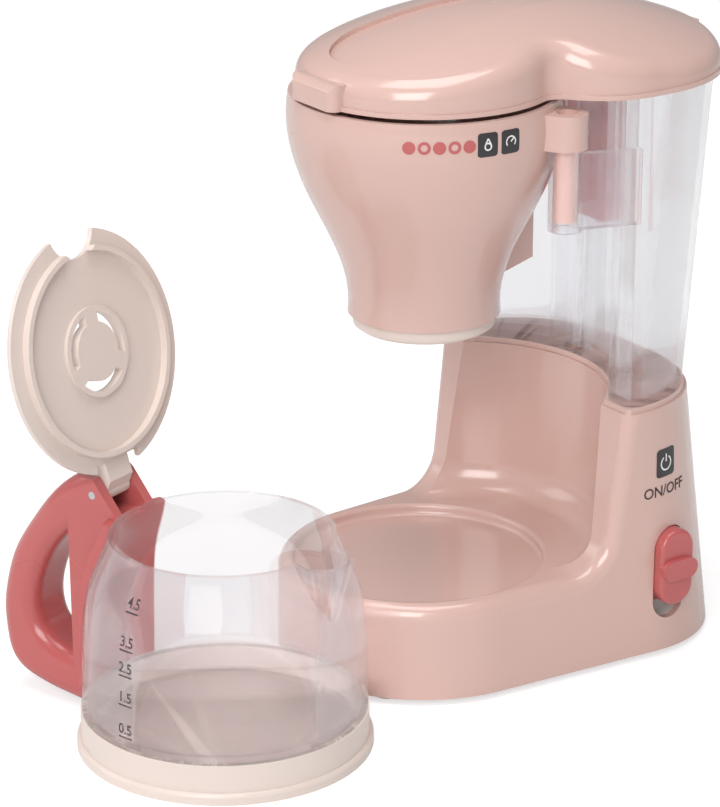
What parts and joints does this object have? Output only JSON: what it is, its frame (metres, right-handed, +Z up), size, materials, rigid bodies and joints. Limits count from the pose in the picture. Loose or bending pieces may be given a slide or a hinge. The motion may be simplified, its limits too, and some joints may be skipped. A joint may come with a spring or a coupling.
{
  "type": "toy coffee maker with carafe",
  "caption": "Toy drip coffee maker with a clear water tank, swing-out filter basket, hinged lid and a separate clear carafe with a flip lid.",
  "frame": {"origin": "on the table, under the middle of the jug plate's front circle", "axes": "+Z up, -Y towards the front of the machine, +X towards the switch side"},
  "size_m": [0.1203, 0.236, 0.2044],
  "materials": {
    "body_pink": "glossy dusty pink",
    "coral": "glossy coral red",
    "cream": "satin cream",
    "clear_plastic": "clear polished plastic",
    "foot_rubber": "soft matt",
    "hose_rubber": "translucent soft",
    "inner_plastic": "plain moulded",
    "screw_steel": "plated",
    "contact_metal": "bright plated",
    "cell_wrap": "plain dark sleeve",
    "wire_cover": "plain sleeve",
    "motor_can": "plated"
  },
  "bodies": {
    "machine": {"base_housing": "body_pink", "base_plate": "body_pink", "battery_door": "body_pink", "battery_door_screw": "screw_steel", "case_screws": "screw_steel", "feet": "foot_rubber", "battery_cells": "cell_wrap", "contact_plates": "contact_metal", "contact_springs": "contact_metal", "wiring": "wire_cover", "switch_body": "inner_plastic", "pump_motor": "motor_can", "pump_housing": "inner_plastic", "pump_cover": "inner_plastic", "inlet_tube": "hose_rubber", "riser_tube": "hose_rubber", "tank_seals": "foot_rubber", "water_tank": "clear_plastic", "water_spout": "coral", "lid_hinge_pin": "screw_steel"},
    "top_lid_body": {"top_lid": "body_pink"},
    "basket_body": {"filter_basket": "body_pink", "drip_cap": "cream"},
    "knob_body": {"switch_knob": "coral"},
    "pump_rotor": {"motor_shaft": "screw_steel", "pump_impeller": "inner_plastic"},
    "carafe_body": {"carafe_jug": "clear_plastic", "carafe_base": "cream", "carafe_handle": "coral", "carafe_hinge_pin": "screw_steel"},
    "carafe_lid_body": {"carafe_lid": "cream"}
  },
  "joints": [
    {"name": "lid_hinge", "type": "hinge", "parent": "machine", "child": "top_lid_body", "pos_m": [0, 0.0955, 0.1845], "axis": [-1, 0, 0], "range_deg": [0, 80]},
    {"name": "basket_swing", "type": "hinge", "parent": "machine", "child": "basket_body", "pos_m": [0.0391, 0.0229, 0.16], "axis": [0, 0, 1], "range_deg": [0, 90]},
    {"name": "switch_slide", "type": "slide", "parent": "machine", "child": "knob_body", "axis": [0, 0, -1], "range_m": [0, 0.0046]},
    {"name": "pump_spin", "type": "hinge", "parent": "machine", "child": "pump_rotor", "pos_m": [-0.014, 0.0615, 0.0164], "axis": [1, 0, 0], "continuous": true},
    {"name": "carafe_lift", "type": "slide", "parent": "machine", "child": "carafe_body", "axis": [0, 0, 1], "range_m": [0, 0.1]},
    {"name": "carafe_lid_hinge", "type": "hinge", "parent": "carafe_body", "child": "carafe_lid_body", "pos_m": [-0.01732, -0.1014, 0.071], "axis": [-0.3469, 0.9379, 0], "range_deg": [0, 103]}
  ]
}
